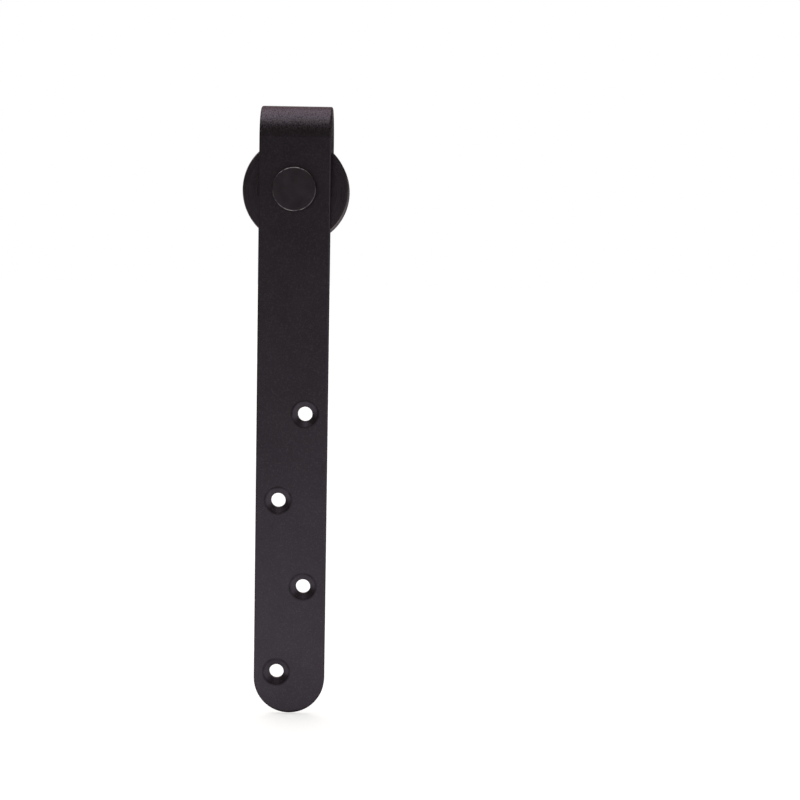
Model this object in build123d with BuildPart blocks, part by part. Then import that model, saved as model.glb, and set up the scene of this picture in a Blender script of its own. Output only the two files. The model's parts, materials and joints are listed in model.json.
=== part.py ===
"""Strap hanger with a grooved wheel, for a door that hangs on a flat steel rail.

Millimetres. Origin at the wheel's centre, where the axle's axis meets the middle of the wheel's
width. +X runs across the strap, +Y along the axle from the cap nut to the bolt head, +Z is up.
"""

from build123d import *
import os
from math import cos, isclose, radians, tan

# ------------------------------------------------------------ strap
strap_width = 40.0
strap_thickness = 5.0
leg_gap = 27.0  # clear space between the two legs
bend_centre_z = 29.0
strap_bottom_z = -295.5
strap_edge_radius = 1.1

screw_hole_radius = 4.1
screw_sink_radius = 7.3
screw_sink_angle = 118.0
screw_offset_x = 7.25  # the holes stand right and left of the middle in turn
screw_top_z = -125.0
screw_pitch_z = 49.0
screw_count = 4

# ------------------------------------------------------------ wheel
wheel_radius = 29.7
wheel_width = 21.0
groove_radius = 21.1
groove_floor_width = 6.1
groove_mouth_width = 8.7
groove_root_radius = 0.6
groove_lip_radius = 0.5
rim_chamfer = 0.5
shoulder_thickness = 1.6  # the lip at the back that the rear bearing stands against
shoulder_radius = 11.0
bore_mouth_chamfer = 0.5

circlip_thickness = 1.2
circlip_play = 0.1  # how much wider its groove is
circlip_outer_radius = 13.6
circlip_inner_radius = 10.9
circlip_opening = 2.0
circlip_lug_radius = 1.9
circlip_lug_hole_radius = 1.0
circlip_lug_pitch_radius = 11.2
circlip_lug_angle = 15.0  # from the middle of the opening to a lug's centre

# ------------------------------------------------------------ axle, M10
thread_radius = 4.95
nut_thread_radius = 5.0
bolt_hole_radius = 5.25
bolt_end_y = -23.1
bolt_tip_chamfer = 1.0
head_across_flats = 16.0
head_height = 6.4
head_top_radius = 7.6  # of the flat circle left by the chamfer on the head's outer face
head_chamfer_angle = 30.0
washer_radius = 10.0
washer_thickness = 2.0
washer_chamfer = 0.3

cap_radius = 12.1
cap_thickness = 4.6
cap_edge_radius = 0.7
cap_collar_radius = 8.1
cap_collar_length = 1.8
cap_hole_end_y = -23.5

spacer_radius = 11.5
spacer_nose_radius = 7.0
spacer_bore_radius = 5.05
spacer_chamfer = 0.3
running_gap = 0.4  # between a spacer's flange and the wheel's face

# ------------------------------------------------------------ bearings, 10 x 26 x 8
bearing_bore_radius = 5.0
bearing_outer_radius = 13.0
bearing_width = 8.0
distance_ring_width = 1.0
distance_ring_chamfer = 0.1
ring_chamfer = 0.3
inner_land_radius = 7.4
outer_land_radius = 10.6
ball_count = 7
ball_radius = 2.381
ball_pitch_radius = 9.0
race_radius = 2.43

shield_sheet = 0.3
shield_depth = 0.15  # from the ring's face to the shield
shield_rim_radius = 11.2
shield_rim_depth = 0.6
shield_inner_radius = 7.7

cage_inner_radius = 8.15
cage_outer_radius = 9.85
cage_sheet = 0.4
cage_pocket_radius = 2.46
rivet_radius = 0.4
rivet_head_radius = 0.7
rivet_head_height = 0.3

# ------------------------------------------------------------ places along the axle
wheel_face = wheel_width / 2
leg_inner = leg_gap / 2
leg_outer = leg_inner + strap_thickness
head_seat = leg_outer + washer_thickness
head_top = head_seat + head_height
cap_back = -leg_outer - cap_collar_length
cap_face = cap_back - cap_thickness
rear_bearing_y = wheel_face - shoulder_thickness - bearing_width / 2
front_bearing_y = rear_bearing_y - bearing_width - distance_ring_width
circlip_back = front_bearing_y - bearing_width / 2
ring_gap_y = (rear_bearing_y + front_bearing_y) / 2

os.makedirs("parts", exist_ok=True)


def save(piece, name):
    """Label one finished piece and write its STEP file."""
    piece.label = name
    export_step(piece, f"parts/{name}.step")


def facing_front(y):
    """The plane square to the axle at y: its X along +X, its Y along +Z, its normal towards -Y."""
    return Plane.XZ.offset(-y)


def circles_at(part, radius, y):
    """The circular edges about the axle with this radius, at y or at -y."""
    return part.edges().filter_by(
        lambda e: e.geom_type == GeomType.CIRCLE
        and isclose(e.radius, radius, abs_tol=0.01)
        and isclose(abs(e.arc_center.Y), abs(y), abs_tol=0.01)
    )


def plain_ring(inner, outer, low, high, bevel):
    """A turned ring about the axle between two radii and two places, with bevelled corners."""
    with BuildPart() as ring:
        with BuildSketch(Plane.XY) as section:
            with Locations(((inner + outer) / 2, (low + high) / 2)):
                Rectangle(outer - inner, high - low)
            chamfer(section.vertices(), length=bevel)
        revolve(axis=Axis.Y)
    return ring.part


# ============================================================ strap
long_end_z = strap_bottom_z + strap_width / 2  # centre of the long leg's round end

with BuildPart() as strap:
    # the bent bar from the side: a band between the outer and the inner outline
    with BuildSketch(Plane.YZ):
        with BuildLine():
            mid_y = (leg_inner + leg_outer) / 2
            long_leg = Line((-mid_y, long_end_z), (-mid_y, bend_centre_z))
            bend = TangentArc(long_leg @ 1, (mid_y, bend_centre_z), tangent=long_leg % 1)
            Line(bend @ 1, (mid_y, 0))
        trace(line_width=strap_thickness)
    extrude(amount=strap_width / 2, both=True)
    # the two round ends
    for back_y, end_z in ((leg_outer, 0), (-leg_inner, long_end_z)):
        with BuildSketch(facing_front(back_y)):
            with Locations((0, end_z)):
                Circle(strap_width / 2)
        extrude(amount=strap_thickness)
    # the bar's rounded edges run round both of its faces
    fillet(
        strap.edges().filter_by(Axis.Z) + strap.edges().filter_by(GeomType.CIRCLE),
        radius=strap_edge_radius,
    )
    with BuildSketch(facing_front(leg_outer)):
        Circle(bolt_hole_radius)
    extrude(amount=2 * leg_outer, mode=Mode.SUBTRACT)
    with Locations(facing_front(-leg_outer)):
        with Locations(
            *[
                (screw_offset_x * (-1) ** i, screw_top_z - screw_pitch_z * i)
                for i in range(screw_count)
            ]
        ):
            CounterSinkHole(
                radius=screw_hole_radius,
                counter_sink_radius=screw_sink_radius,
                counter_sink_angle=screw_sink_angle,
            )
save(strap.part, "strap")

# ============================================================ wheel
groove_floor = groove_floor_width / 2
groove_mouth = groove_mouth_width / 2

with BuildPart() as wheel:
    with BuildSketch(Plane.XY):
        # half section of the body, bored through at the shoulder's radius
        Polygon(
            (shoulder_radius, wheel_face),
            (shoulder_radius, -wheel_face),
            (wheel_radius, -wheel_face),
            (wheel_radius, -groove_mouth),
            (groove_radius, -groove_floor),
            (groove_radius, groove_floor),
            (wheel_radius, groove_mouth),
            (wheel_radius, wheel_face),
            align=None,
        )
        # the bearings' seat, open at the front, and the circlip's groove
        seat_length = 2 * wheel_face - shoulder_thickness
        with Locations((bearing_outer_radius / 2, -wheel_face + seat_length / 2)):
            Rectangle(bearing_outer_radius, seat_length, mode=Mode.SUBTRACT)
        with Locations((circlip_outer_radius / 2, circlip_back - circlip_thickness / 2)):
            Rectangle(
                circlip_outer_radius, circlip_thickness + circlip_play, mode=Mode.SUBTRACT
            )
    revolve(axis=Axis.Y)
    chamfer(circles_at(wheel, wheel_radius, wheel_face), length=rim_chamfer)
    chamfer(circles_at(wheel, bearing_outer_radius, wheel_face), length=bore_mouth_chamfer)
    chamfer(circles_at(wheel, shoulder_radius, wheel_face), length=bore_mouth_chamfer)
    fillet(circles_at(wheel, wheel_radius, groove_mouth), radius=groove_lip_radius)
    fillet(circles_at(wheel, groove_radius, groove_floor), radius=groove_root_radius)
save(wheel.part, "wheel")

# the clip's eyes stand either side of its opening, at the top
with BuildPart() as circlip:
    with BuildSketch(facing_front(circlip_back)):
        Circle(circlip_outer_radius)
        Circle(circlip_inner_radius, mode=Mode.SUBTRACT)
        lug_places = PolarLocations(
            circlip_lug_pitch_radius,
            2,
            start_angle=90 - circlip_lug_angle,
            angular_range=2 * circlip_lug_angle,
            endpoint=True,
        )
        with lug_places:
            Circle(circlip_lug_radius)
        with lug_places:
            Circle(circlip_lug_hole_radius, mode=Mode.SUBTRACT)
        with Locations((0, circlip_lug_pitch_radius)):
            Rectangle(circlip_opening, 4 * circlip_lug_radius, mode=Mode.SUBTRACT)
    extrude(amount=circlip_thickness)
save(circlip.part, "circlip")

# ============================================================ axle bolt, washer, cap nut, spacers
corner_radius = head_across_flats / 2 / cos(radians(30))
head_corner_drop = (corner_radius - head_top_radius) * tan(radians(head_chamfer_angle))

with BuildPart() as axle_bolt:
    # two of the head's flats face left and right
    with BuildSketch(facing_front(head_top)):
        RegularPolygon(corner_radius, 6, rotation=30)
    extrude(amount=head_height)
    # a cone takes the corners off the outer face
    with BuildSketch(Plane.XY):
        Polygon(
            (0, head_seat),
            (corner_radius, head_seat),
            (corner_radius, head_top - head_corner_drop),
            (head_top_radius, head_top),
            (0, head_top),
            align=None,
        )
    revolve(axis=Axis.Y, mode=Mode.INTERSECT)
    with BuildSketch(facing_front(head_seat)):
        Circle(thread_radius)
    extrude(amount=head_seat - bolt_end_y)
    chamfer(circles_at(axle_bolt, thread_radius, bolt_end_y), length=bolt_tip_chamfer)
save(axle_bolt.part, "axle_bolt")

washer = plain_ring(bolt_hole_radius, washer_radius, leg_outer, head_seat, washer_chamfer)
save(washer, "washer")

with BuildPart() as cap_nut:
    with BuildSketch(facing_front(-leg_outer)):
        Circle(cap_collar_radius)
    extrude(amount=cap_collar_length)
    with BuildSketch(facing_front(cap_back)):
        Circle(cap_radius)
    extrude(amount=cap_thickness)
    with BuildSketch(facing_front(-leg_outer)):
        Circle(nut_thread_radius)
    extrude(amount=-cap_hole_end_y - leg_outer, mode=Mode.SUBTRACT)
    fillet(circles_at(cap_nut, cap_radius, cap_face), radius=cap_edge_radius)
save(cap_nut.part, "cap_nut")


def make_spacer(leg_y, nose_y, name):
    """A stepped sleeve: a flange against the leg and a nose that holds the inner ring."""
    side = 1 if leg_y > 0 else -1
    flange_y = side * (wheel_face + running_gap)
    with BuildPart() as spacer:
        with BuildSketch(Plane.XY):
            Polygon(
                (spacer_bore_radius, leg_y),
                (spacer_radius, leg_y),
                (spacer_radius, flange_y),
                (spacer_nose_radius, flange_y),
                (spacer_nose_radius, nose_y),
                (spacer_bore_radius, nose_y),
                align=None,
            )
        revolve(axis=Axis.Y)
        chamfer(circles_at(spacer, spacer_radius, flange_y), length=spacer_chamfer)
        chamfer(circles_at(spacer, spacer_nose_radius, nose_y), length=spacer_chamfer)
    save(spacer.part, name)


make_spacer(leg_inner, rear_bearing_y + bearing_width / 2, "rear_spacer")
make_spacer(-leg_inner, front_bearing_y - bearing_width / 2, "front_spacer")

# ============================================================ bearings


def make_rings(place, middle):
    """The inner ring, and the outer ring with a step at each face for its shield."""
    half = bearing_width / 2
    step = half - shield_rim_depth
    with BuildPart() as outer_ring:
        with BuildSketch(Plane.XY):
            Polygon(
                (outer_land_radius, middle - step),
                (shield_rim_radius, middle - step),
                (shield_rim_radius, middle - half),
                (bearing_outer_radius, middle - half),
                (bearing_outer_radius, middle + half),
                (shield_rim_radius, middle + half),
                (shield_rim_radius, middle + step),
                (outer_land_radius, middle + step),
                align=None,
            )
            with Locations((ball_pitch_radius, middle)):
                Circle(race_radius, mode=Mode.SUBTRACT)
        revolve(axis=Axis.Y)
        for face_y in (middle - half, middle + half):
            chamfer(circles_at(outer_ring, bearing_outer_radius, face_y), length=ring_chamfer)
    save(outer_ring.part, f"{place}_outer_ring")

    with BuildPart() as inner_ring:
        with BuildSketch(Plane.XY) as section:
            with Locations(((bearing_bore_radius + inner_land_radius) / 2, middle)):
                Rectangle(inner_land_radius - bearing_bore_radius, bearing_width)
            chamfer(section.vertices(), length=ring_chamfer)
            with Locations((ball_pitch_radius, middle)):
                Circle(race_radius, mode=Mode.SUBTRACT)
        revolve(axis=Axis.Y)
    save(inner_ring.part, f"{place}_inner_ring")


def make_balls(place, middle):
    """The balls, spaced evenly round the pitch circle."""
    with BuildPart() as balls:
        with Locations(facing_front(middle)):
            with PolarLocations(ball_pitch_radius, ball_count):
                Sphere(ball_radius)
    save(balls.part, f"{place}_balls")


def make_cage_half(place, middle, half_name, side):
    """One half of the pressed cage, on the side of the balls that side (-1 or 1) points to."""
    outer_face = middle + side * cage_sheet
    with BuildPart() as cage_half:
        with BuildSketch(facing_front(max(middle, outer_face))):
            Circle(cage_outer_radius)
        extrude(amount=cage_sheet)
        with Locations(facing_front(middle)):
            with PolarLocations(ball_pitch_radius, ball_count):
                Sphere(cage_pocket_radius + cage_sheet)
        # keep the band between two radii, on one side of the balls' middle
        far = middle + side * bearing_width / 2
        with BuildSketch(facing_front(max(middle, far))):
            Circle(cage_outer_radius)
            Circle(cage_inner_radius, mode=Mode.SUBTRACT)
        extrude(amount=bearing_width / 2, mode=Mode.INTERSECT)
        with Locations(facing_front(middle)):
            with PolarLocations(ball_pitch_radius, ball_count):
                Sphere(cage_pocket_radius, mode=Mode.SUBTRACT)
        with BuildSketch(facing_front(middle + cage_sheet)):
            with rivet_places:
                Circle(rivet_radius)
        extrude(amount=2 * cage_sheet, mode=Mode.SUBTRACT)
    save(cage_half.part, f"{place}_cage_{half_name}_half")


def make_rivets(place, middle):
    """Rivets between the balls, each a shank through both sheets with a head on either side."""
    head_end = cage_sheet + rivet_head_height
    with BuildPart() as rivets:
        with BuildSketch(facing_front(middle + head_end)):
            with rivet_places:
                Circle(rivet_radius)
        extrude(amount=2 * head_end)
        for head_back in (middle + head_end, middle - cage_sheet):
            with BuildSketch(facing_front(head_back)):
                with rivet_places:
                    Circle(rivet_head_radius)
            extrude(amount=rivet_head_height)
    save(rivets.part, f"{place}_cage_rivets")


def make_shield(place, middle, half_name, side):
    """A pressed disc with a turned-in rim that sits in the outer ring's step."""
    face = middle + side * bearing_width / 2
    sheet_out = face - side * shield_depth
    sheet_in = sheet_out - side * shield_sheet
    rim_in = face - side * shield_rim_depth
    with BuildPart() as shield:
        with BuildSketch(Plane.XY):
            Polygon(
                (shield_inner_radius, sheet_out),
                (shield_rim_radius, sheet_out),
                (shield_rim_radius, rim_in),
                (shield_rim_radius - shield_sheet, rim_in),
                (shield_rim_radius - shield_sheet, sheet_in),
                (shield_inner_radius, sheet_in),
                align=None,
            )
        revolve(axis=Axis.Y)
    save(shield.part, f"{place}_{half_name}_shield")


half_step = 180 / ball_count  # from a ball to the rivet beside it
rivet_places = PolarLocations(ball_pitch_radius, ball_count, start_angle=half_step)

for place, middle in (("front_bearing", front_bearing_y), ("rear_bearing", rear_bearing_y)):
    make_rings(place, middle)
    make_balls(place, middle)
    make_rivets(place, middle)
    for half_name, side in (("front", -1), ("rear", 1)):
        make_cage_half(place, middle, half_name, side)
        make_shield(place, middle, half_name, side)

# the rings that keep the two bearings apart
for name, inner, outer in (
    ("inner_distance_ring", bearing_bore_radius, inner_land_radius),
    ("outer_distance_ring", outer_land_radius, bearing_outer_radius),
):
    low = ring_gap_y - distance_ring_width / 2
    high = ring_gap_y + distance_ring_width / 2
    save(plain_ring(inner, outer, low, high, distance_ring_chamfer), name)
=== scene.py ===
"""Black strap hanger with a grooved wheel, in a white studio. Metres, in the frame of the CAD model."""
import bpy
import json
from math import radians
from mathutils import Matrix, Vector


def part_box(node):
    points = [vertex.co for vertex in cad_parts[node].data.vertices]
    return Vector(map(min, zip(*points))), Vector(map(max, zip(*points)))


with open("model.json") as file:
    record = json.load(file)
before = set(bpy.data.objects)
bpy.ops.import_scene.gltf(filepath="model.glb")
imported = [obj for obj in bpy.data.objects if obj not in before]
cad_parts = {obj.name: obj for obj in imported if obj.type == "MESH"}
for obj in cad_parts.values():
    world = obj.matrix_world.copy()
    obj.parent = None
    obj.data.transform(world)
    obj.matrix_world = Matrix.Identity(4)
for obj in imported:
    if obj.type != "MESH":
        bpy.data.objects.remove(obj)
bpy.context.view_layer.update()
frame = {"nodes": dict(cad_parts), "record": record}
nodes = frame["nodes"]

MM = 0.001
WHITE = (1, 1, 1)
UP = Vector((0, 0, 1))

# ---------------------------------------------------------------- shader building blocks
NOISE_LOW = 0.3  # most of a noise lies between these two values
NOISE_HIGH = 0.7
MEASURES = ("LENGTH", "DISTANCE", "DOT_PRODUCT")  # the vector operations that give a single value
TURNED_DRIFT = 0.02  # how fast turning marks change round the axle, against 1 along the section
GLARE_TINT = (0.50, 0.45, 0.47)  # the tint of what a black finish reflects when seen almost edge-on


class Graph:
    """An emptied node tree, with short calls for the nodes used here."""

    def __init__(self, tree):
        self.tree = tree
        self.tree.nodes.clear()

    def add(self, kind, **settings):
        node = self.tree.nodes.new(kind)
        for key, value in settings.items():
            setattr(node, key, value)
        return node

    def link(self, source, target):
        self.tree.links.new(source, target)

    def put(self, socket, value):
        """Link a socket, or set it to a constant."""
        if isinstance(value, bpy.types.NodeSocket):
            self.link(value, socket)
        else:
            socket.default_value = value

    def math(self, operation, a, b=0.0):
        node = self.add("ShaderNodeMath", operation=operation)
        self.put(node.inputs[0], a)
        self.put(node.inputs[1], b)
        return node.outputs[0]

    def vector_math(self, operation, a, b=(0, 0, 0)):
        node = self.add("ShaderNodeVectorMath", operation=operation)
        self.link(a, node.inputs[0])
        self.put(node.inputs[1], b)
        return node.outputs["Value" if operation in MEASURES else "Vector"]

    def remap(self, value, low, high, to_low=0.0, to_high=1.0, curve="LINEAR"):
        """Carry value from the range low..high to to_low..to_high, held at both ends."""
        node = self.add("ShaderNodeMapRange", interpolation_type=curve)
        self.put(node.inputs["Value"], value)
        for key, number in (
            ("From Min", low), ("From Max", high), ("To Min", to_low), ("To Max", to_high)
        ):
            node.inputs[key].default_value = number
        return node.outputs["Result"]

    def split(self, vector):
        """The outputs X, Y and Z of a vector."""
        node = self.add("ShaderNodeSeparateXYZ")
        self.link(vector, node.inputs[0])
        return node.outputs

    def join(self, **parts):
        """A vector of the given X, Y and Z, with 0 for what isn't given."""
        node = self.add("ShaderNodeCombineXYZ")
        for key, value in parts.items():
            self.link(value, node.inputs[key])
        return node.outputs[0]

    def is_camera_ray(self):
        return self.add("ShaderNodeLightPath").outputs["Is Camera Ray"]


class Material(Graph):
    """A material with one principled shader, and textures that are placed in the CAD frame."""

    def __init__(self, name):
        self.material = bpy.data.materials.new(name)
        self.material.use_nodes = True
        super().__init__(self.material.node_tree)
        self.shader = self.add("ShaderNodeBsdfPrincipled")
        output = self.add("ShaderNodeOutputMaterial")
        self.link(self.shader.outputs["BSDF"], output.inputs["Surface"])
        self.place = self.add("ShaderNodeTexCoord").outputs["Object"]

    def set(self, socket, value):
        """Link or set one of the shader's own sockets."""
        self.put(self.shader.inputs[socket], value)

    def noise(self, size, detail=3.0, roughness=0.5, place=None):
        """Cloudy noise whose features are about size metres across."""
        node = self.add("ShaderNodeTexNoise")
        self.link(place or self.place, node.inputs["Vector"])
        node.inputs["Scale"].default_value = 1 / size
        node.inputs["Detail"].default_value = detail
        node.inputs["Roughness"].default_value = roughness
        return node.outputs["Fac"]

    def spread(self, noise, to_low=0.0, to_high=1.0):
        """Carry a noise from NOISE_LOW..NOISE_HIGH to to_low..to_high, held at both ends."""
        return self.remap(noise, NOISE_LOW, NOISE_HIGH, to_low, to_high)

    def specks(self, spacing, kept, radius):
        """1 on round dots, 0 elsewhere: one in each cell whose random tone is above kept, radius in cells."""
        node = self.add("ShaderNodeTexVoronoi", feature="F1")
        self.link(self.place, node.inputs["Vector"])
        node.inputs["Scale"].default_value = 1 / spacing
        lone = self.math("GREATER_THAN", node.outputs["Color"], kept)
        dot = self.math("LESS_THAN", node.outputs["Distance"], radius)
        return self.math("MULTIPLY", lone, dot)

    def mix(self, share, low, high):
        """Blend two colours by a 0..1 value."""
        node = self.add("ShaderNodeMix", data_type="RGBA")
        # the colour sockets share their names with the node's other sockets, so they go by number
        self.put(node.inputs["Factor"], share)
        for socket, colour in ((node.inputs[6], low), (node.inputs[7], high)):
            self.put(socket, colour if isinstance(colour, bpy.types.NodeSocket) else (*colour, 1))
        return node.outputs[2]

    def bump(self, height, depth, under=None, strength=1.0):
        """Raise the surface by up to depth metres where height is 1."""
        node = self.add("ShaderNodeBump")
        self.link(height, node.inputs["Height"])
        self.put(node.inputs["Strength"], strength)
        node.inputs["Distance"].default_value = depth
        if under is not None:
            self.link(under, node.inputs["Normal"])
        return node.outputs["Normal"]

    def darken_glare(self):
        """Keep a black finish dark until it is seen almost edge-on, as a blackened or grainy surface is."""
        self.set("Metallic", 1.0)
        self.set("Specular Tint", (*GLARE_TINT, 1))

    def height(self):
        """The place along Z."""
        return self.split(self.place)["Z"]

    def turning(self, size):
        """Fine rings left by turning: they change along the section and hardly round it."""
        at = self.split(self.place)
        radius = self.vector_math("LENGTH", self.join(X=at["X"], Y=at["Z"]))
        along_section = self.join(X=self.math("ADD", radius, at["Y"]))
        round_axle = self.vector_math("MULTIPLY", self.place, 3 * (TURNED_DRIFT,))
        walk = self.vector_math("ADD", round_axle, along_section)
        return self.noise(size, detail=4.0, roughness=0.65, place=walk)

    def stretched(self, share):
        """The place with X kept and Y and Z counted only by a share, for marks that run round the bend."""
        return self.vector_math("MULTIPLY", self.place, (1, share, share))

    def rims(self, centres, radius, width, limit_y):
        """1 on a thin ring round each centre in the XZ plane, in front of limit_y, and 0 elsewhere."""
        at = self.split(self.place)
        flat = self.join(X=at["X"], Z=at["Z"])
        nearest = 1.0  # a metre, further off than any rim
        for centre in centres:
            distance = self.vector_math("DISTANCE", flat, centre)
            off = self.math("ABSOLUTE", self.math("SUBTRACT", distance, radius))
            nearest = self.math("MINIMUM", off, nearest)
        front = self.math("LESS_THAN", at["Y"], limit_y)
        return self.math("MULTIPLY", self.remap(nearest, width, width / 3), front)

    def corners(self):
        """1 on the rounded or bevelled corners of a turned part, 0 on its faces and its sides."""
        normal = self.add("ShaderNodeTexCoord").outputs["Normal"]
        # 0 where the surface faces straight away from the axle, 1 where it faces along it
        along_axle = self.math("ABSOLUTE", self.split(normal)["Y"])
        off_sides = self.remap(along_axle, 0.15, 0.5)
        off_faces = self.remap(along_axle, 0.96, 0.8)
        return self.math("MULTIPLY", off_sides, off_faces)


# ---------------------------------------------------------------- the strap's coat
BEND_FOOT_Z = 29 * MM  # where the strap's legs run into its bend
BEND_FADE = 8 * MM
FRONT_HALF_Y = -16.5 * MM  # the half of the long leg that holds the countersinks lies in front of this
COUNTERSINK_RIM_R = 7.4 * MM
COUNTERSINK_RIM_WIDTH = 0.9 * MM

COAT_DARK = (0.052, 0.0445, 0.0550)
COAT_LIGHT = (0.060, 0.0515, 0.0635)
COAT_GRAIN = (0.11, 0.094, 0.11)
COAT_SPECK = (0.10, 0.092, 0.10)
DRAWN_DARK = (0.030, 0.0254, 0.030)
DRAWN_LIGHT = (0.108, 0.0914, 0.108)
RIM_DARK = (0.012, 0.010, 0.012)


def screw_hole_centres():
    """The centres of the countersunk holes in X and Z, from the record's mounts."""
    centres = []
    for mount in frame["record"]["mounts"]:
        if mount["kind"] == "bolt_pattern":
            x, _, z = mount["pos_m"]
            half = mount["dims"]["spacing_y_mm"] * MM / 2
            centres += [(x, 0, z - half), (x, 0, z + half)]
    return centres


def powder_coat(name):
    """Satin black powder coat: orange peel, a fine sandy grain, soft mottling, a few pale specks."""
    coat = Material(name)
    cloud = coat.noise(30 * MM, detail=4.0)
    grain = coat.noise(0.7 * MM, detail=2.0, roughness=0.6)
    peel = coat.noise(1.7 * MM, detail=1.5)
    # where the bar was bent, the coat is drawn into short streaks that run round the bend
    bent = coat.remap(coat.height(), BEND_FOOT_Z, BEND_FOOT_Z + BEND_FADE)
    streaks = coat.noise(0.58 * MM, detail=2.0, roughness=0.75, place=coat.stretched(0.5))

    colour = coat.mix(coat.spread(cloud), COAT_DARK, COAT_LIGHT)
    sandy = coat.math("MULTIPLY", coat.remap(grain, 0.5, 0.75), 0.5)
    colour = coat.mix(sandy, colour, COAT_GRAIN)
    drawn_coat = coat.mix(coat.remap(streaks, 0.36, 0.64), DRAWN_DARK, DRAWN_LIGHT)
    colour = coat.mix(bent, colour, drawn_coat)
    colour = coat.mix(coat.specks(3.2 * MM, kept=0.93, radius=0.045), colour, COAT_SPECK)
    # the coat is darker along the rims of the countersinks, in patches
    rims = coat.rims(screw_hole_centres(), COUNTERSINK_RIM_R, COUNTERSINK_RIM_WIDTH, FRONT_HALF_Y)
    patchy = coat.remap(coat.noise(4 * MM, detail=3.0), 0.35, 0.6, 0.3, 0.6)
    colour = coat.mix(coat.math("MULTIPLY", rims, patchy), colour, RIM_DARK)
    coat.set("Base Color", colour)

    rough = coat.spread(coat.noise(9 * MM, detail=5.0), 0.32, 0.40)
    rough = coat.math("ADD", rough, coat.remap(grain, 0.35, 0.65, -0.04, 0.05))
    uneven = coat.math("MULTIPLY", coat.remap(streaks, 0.35, 0.65, -0.13, 0.13), bent)
    coat.set("Roughness", coat.math("ADD", rough, uneven))
    coat.darken_glare()

    drawn = coat.bump(streaks, depth=0.12 * MM, strength=bent)
    wave = coat.bump(peel, depth=0.03 * MM, strength=0.5, under=drawn)
    coat.set("Normal", coat.bump(grain, depth=0.02 * MM, under=wave))
    return coat.material


# ---------------------------------------------------------------- the other black finishes
WORN_CORNER = (0.26, 0.22, 0.22)
# the colour of the plated corners, partly real wear to the steel and partly a painted highlight
CORNER_WEAR_AND_HIGHLIGHT = (0.36, 0.33, 0.34)
HIGHLIGHT_WEAK_BELOW = 6 * MM  # distances from the axle in height, between which the painted highlight on the corners sets in on top of the wear
HIGHLIGHT_FULL_ABOVE = 11 * MM

MARKS_SHARE = 0.45  # what the fine turning marks, the broad ones and the clouds give to the colour
BROAD_SHARE = 0.25
CLOUD_SHARE = 0.3


def turned_black(name, base, light, roughness):
    """Turned steel under a thin satin black finish, with its turning marks and with worn corners."""
    coat = Material(name)
    marks = coat.turning(0.35 * MM)
    broad = coat.turning(1.6 * MM)
    cloud = coat.noise(8 * MM, detail=4.0)
    share = coat.math("MULTIPLY", coat.spread(marks), MARKS_SHARE)
    share = coat.math("ADD", share, coat.math("MULTIPLY", coat.spread(broad), BROAD_SHARE))
    share = coat.math("ADD", share, coat.math("MULTIPLY", cloud, CLOUD_SHARE))
    patchy = coat.remap(coat.noise(3 * MM, detail=3.0), 0.35, 0.6, 0.2, 0.75)
    worn = coat.math("MULTIPLY", coat.corners(), patchy)
    coat.set("Base Color", coat.mix(worn, coat.mix(share, base, light), WORN_CORNER))

    rough = coat.spread(marks, roughness - 0.05, roughness + 0.06)
    coat.set("Roughness", coat.math("ADD", rough, coat.spread(cloud, -0.03, 0.03)))
    coat.darken_glare()
    # the marks run round the axle and spread each highlight across themselves
    coat.set("Anisotropic", 0.6)
    coat.set("Anisotropic Rotation", 0.25)
    coat.set("Tangent", coat.add("ShaderNodeTangent", direction_type="RADIAL", axis="Y").outputs[0])

    fine = coat.bump(coat.noise(0.3 * MM, detail=2.0), depth=0.006 * MM)
    coat.set("Normal", coat.bump(marks, depth=0.012 * MM, under=fine))
    return coat.material


def plated_black(name, base, light, roughness):
    """A smooth black-plated surface, worn through to the steel here and there along its corners, and lighter
    on the corners at the top and the bottom as a painted highlight.
    """
    coat = Material(name)
    cloud = coat.noise(6 * MM, detail=5.0)
    patchy = coat.remap(coat.noise(2.2 * MM, detail=3.0), 0.38, 0.58)
    wear_and_highlight = coat.math("MULTIPLY", coat.corners(), patchy)
    # painted highlight: the corners are lightened most at the top and the bottom, where the overhead lamp and
    # the lit floor catch them
    off_axle = coat.math("ABSOLUTE", coat.height())
    highlight_by_height = coat.remap(off_axle, HIGHLIGHT_WEAK_BELOW, HIGHLIGHT_FULL_ABOVE, 0.25, 1.0)
    wear_and_highlight = coat.math("MULTIPLY", wear_and_highlight, highlight_by_height)
    coat.set("Base Color", coat.mix(wear_and_highlight, coat.mix(coat.spread(cloud), base, light), CORNER_WEAR_AND_HIGHLIGHT))
    coat.set("Roughness", coat.spread(cloud, roughness - 0.05, roughness + 0.07))
    coat.darken_glare()
    coat.set("Normal", coat.bump(coat.noise(0.25 * MM, detail=3.0), depth=0.006 * MM))
    return coat.material


# ---------------------------------------------------------------- the bright steel of the bearings
CLOUDED = 0.86  # the share of its own tone that the steel keeps in the clouds


def bare_steel(name, tone, roughness, marks_depth):
    """Bright bearing steel with ground or pressed marks."""
    steel = Material(name)
    marks = steel.turning(0.2 * MM)
    cloud = steel.noise(4 * MM, detail=4.0)
    dark = tuple(CLOUDED * c for c in tone)
    steel.set("Base Color", steel.mix(steel.spread(cloud), dark, tone))
    steel.set("Metallic", 1.0)
    steel.set("Roughness", steel.spread(marks, roughness, roughness + 0.12))
    steel.set("Normal", steel.bump(marks, marks_depth))
    return steel.material


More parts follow.
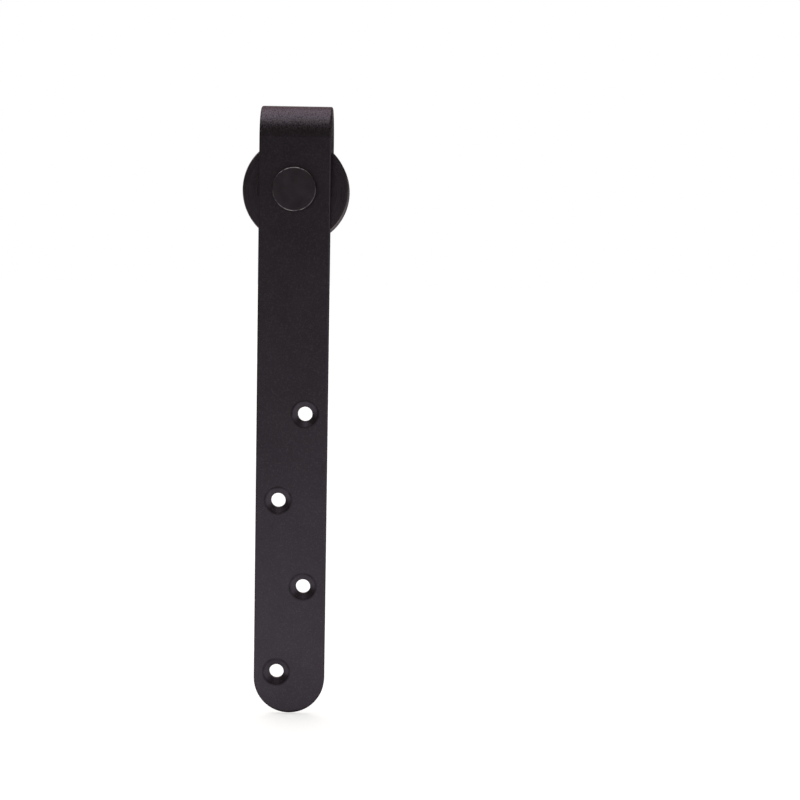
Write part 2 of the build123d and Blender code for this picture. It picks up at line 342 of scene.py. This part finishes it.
# ---------------------------------------------------------------- a material for each slot
# black: the darker colour, the lighter colour and the roughness
# bare: the tone, the roughness and the depth of the marks
FINISHES = {
    "strap_coat": (powder_coat,),
    "wheel_coat": (turned_black, (0.055, 0.047, 0.058), (0.096, 0.082, 0.101), 0.30),
    "fastener_black": (plated_black, (0.045, 0.038, 0.043), (0.065, 0.055, 0.062), 0.30),
    "cap_black": (plated_black, (0.062, 0.053, 0.064), (0.075, 0.065, 0.077), 0.34),
    "spacer_black": (turned_black, (0.032, 0.027, 0.031), (0.055, 0.047, 0.054), 0.36),
    "spring_steel": (turned_black, (0.09, 0.083, 0.078), (0.15, 0.14, 0.13), 0.42),
    "ring_steel": (bare_steel, (0.62, 0.61, 0.60), 0.22, 0.004 * MM),
    "ball_steel": (bare_steel, (0.72, 0.72, 0.73), 0.06, 0.0005 * MM),
    "pressed_steel": (bare_steel, (0.52, 0.51, 0.50), 0.30, 0.006 * MM),
}
materials = {slot: make(slot, *look) for slot, (make, *look) in FINISHES.items()}
for entry in frame["record"]["subparts"]:
    mesh = nodes[entry["node"]].data
    mesh.materials.clear()
    mesh.materials.append(materials[entry["material_slot"]])

# ---------------------------------------------------------------- floor
FLOOR_SIZE = 60
FLOOR_GAP = 1 * MM  # between the floor and the strap's foot
PAPER_DARK = (0.54, 0.54, 0.54)
PAPER_LIGHT = (0.57, 0.57, 0.57)
PAPER_CLOUDS = 0.4
PAPER_GLOW = 0.65


def floor_paper(name):
    """Matt paper with a faint mottling, which the camera sees brighter than it lights the hanger."""
    paper = Material(name)
    paper.set("Base Color", paper.mix(paper.noise(PAPER_CLOUDS, detail=3.0), PAPER_DARK, PAPER_LIGHT))
    paper.set("Roughness", 0.9)
    paper.set("Specular IOR Level", 0.0)
    paper.set("Emission Color", (*WHITE, 1))
    paper.set("Emission Strength", paper.math("MULTIPLY", paper.is_camera_ray(), PAPER_GLOW))
    return paper.material


strap_low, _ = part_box("strap")
floor_z = strap_low.z - FLOOR_GAP
bpy.ops.mesh.primitive_plane_add(size=FLOOR_SIZE, location=(0, 0, floor_z))
floor = bpy.context.object
floor.name = "floor"
floor.data.materials.append(floor_paper("floor_paper"))

# ---------------------------------------------------------------- lamps
# a cool light, low down to the right and in front, turned to the middle of the hanger
RIGHT_PLACE = Vector((1.35, -0.95, -0.02))
RIGHT_SIZE = (0.9, 1.0)
RIGHT_POWER = 2.6
RIGHT_TINT = (0.96, 0.94, 1.0)
HANGER_MIDDLE = Vector((0, 0, -0.12))

# light thrown straight up from the table in front of the hanger
TABLE_PLACE = Vector((0.1, -0.422, floor_z + 1 * MM))
TABLE_SIZE = (1.0, 0.8)
TABLE_POWER = 1.18

# a broad round soft light overhead, leaning to the back and to the left
OVERHEAD_PLACE = (0, 0, 2)
OVERHEAD_POWER = 1.6
OVERHEAD_WIDTH = radians(76)
OVERHEAD_LEAN = radians(-6)


def lamp(name, kind, place, power):
    """A new light of this kind, and the object that holds it at place."""
    light = bpy.data.lights.new(name, kind)
    light.energy = power
    holder = bpy.data.objects.new(name, light)
    bpy.context.scene.collection.objects.link(holder)
    holder.location = place
    return light, holder


def softbox(name, place, size, power, toward, tint=WHITE):
    """A rectangular soft light at place, which shines along toward and which the camera can't see."""
    light, holder = lamp(name, "AREA", place, power)
    light.shape = "RECTANGLE"
    light.size, light.size_y = size
    light.color = tint
    holder.rotation_euler = toward.to_track_quat("-Z", "Y").to_euler()
    holder.visible_camera = False


softbox("right_light", RIGHT_PLACE, RIGHT_SIZE, RIGHT_POWER, HANGER_MIDDLE - RIGHT_PLACE, RIGHT_TINT)
softbox("table_light", TABLE_PLACE, TABLE_SIZE, TABLE_POWER, UP)
overhead, overhead_holder = lamp("overhead", "SUN", OVERHEAD_PLACE, OVERHEAD_POWER)
overhead.angle = OVERHEAD_WIDTH
overhead_holder.rotation_euler = (OVERHEAD_LEAN, OVERHEAD_LEAN, 0)

# ---------------------------------------------------------------- world
# white to the camera; as light, a bright wall high behind the hanger and a dim room in front, both warm
WALL_SIDE = Vector((-0.28, 0.75, 0.6)).normalized()
WALL_END = 0.50  # the cosine of the angle from WALL_SIDE at which the wall has faded into the room
WALL_LIGHT = 0.97
ROOM_LIGHT = 0.155
STUDIO_TINT = (1.0, 0.93, 0.84)

world = bpy.data.worlds.new("studio")
bpy.context.scene.world = world
world.use_nodes = True
studio = Graph(world.node_tree)
direction = studio.add("ShaderNodeTexCoord").outputs["Generated"]
toward_wall = studio.vector_math("DOT_PRODUCT", direction, WALL_SIDE)
as_light = studio.add("ShaderNodeBackground")
studio.put(as_light.inputs["Color"], (*STUDIO_TINT, 1))
strength = studio.remap(toward_wall, WALL_END, 1.0, ROOM_LIGHT, WALL_LIGHT, curve="SMOOTHSTEP")
studio.put(as_light.inputs["Strength"], strength)
as_seen = studio.add("ShaderNodeBackground")
studio.put(as_seen.inputs["Color"], (*WHITE, 1))
choose = studio.add("ShaderNodeMixShader")
studio.link(studio.is_camera_ray(), choose.inputs[0])
studio.link(as_light.outputs[0], choose.inputs[1])
studio.link(as_seen.outputs[0], choose.inputs[2])
studio.link(choose.outputs[0], studio.add("ShaderNodeOutputWorld").inputs["Surface"])

bpy.context.scene.view_settings.view_transform = "Standard"

# ---------------------------------------------------------------- camera
# a little to the right of the axle and below it, looking slightly down, with the frame turned by a degree
CAMERA_PLACE = Vector((0.0577, -0.9322, -0.0454))
CAMERA_DOWN = radians(4.42)
CAMERA_YAW = radians(-0.17)
CAMERA_ROLL = radians(0.99)
SENSOR_WIDTH_MM = 36
LENS_MM = 73.6

lens = bpy.data.cameras.new("camera")
lens.sensor_width = SENSOR_WIDTH_MM
lens.lens = LENS_MM
camera = bpy.data.objects.new("camera", lens)
bpy.context.scene.collection.objects.link(camera)
turn = Matrix.Rotation(CAMERA_YAW, 4, "Z") @ Matrix.Rotation(radians(90) - CAMERA_DOWN, 4, "X")
camera.matrix_world = Matrix.Translation(CAMERA_PLACE) @ turn @ Matrix.Rotation(CAMERA_ROLL, 4, "Z")
bpy.context.scene.camera = camera
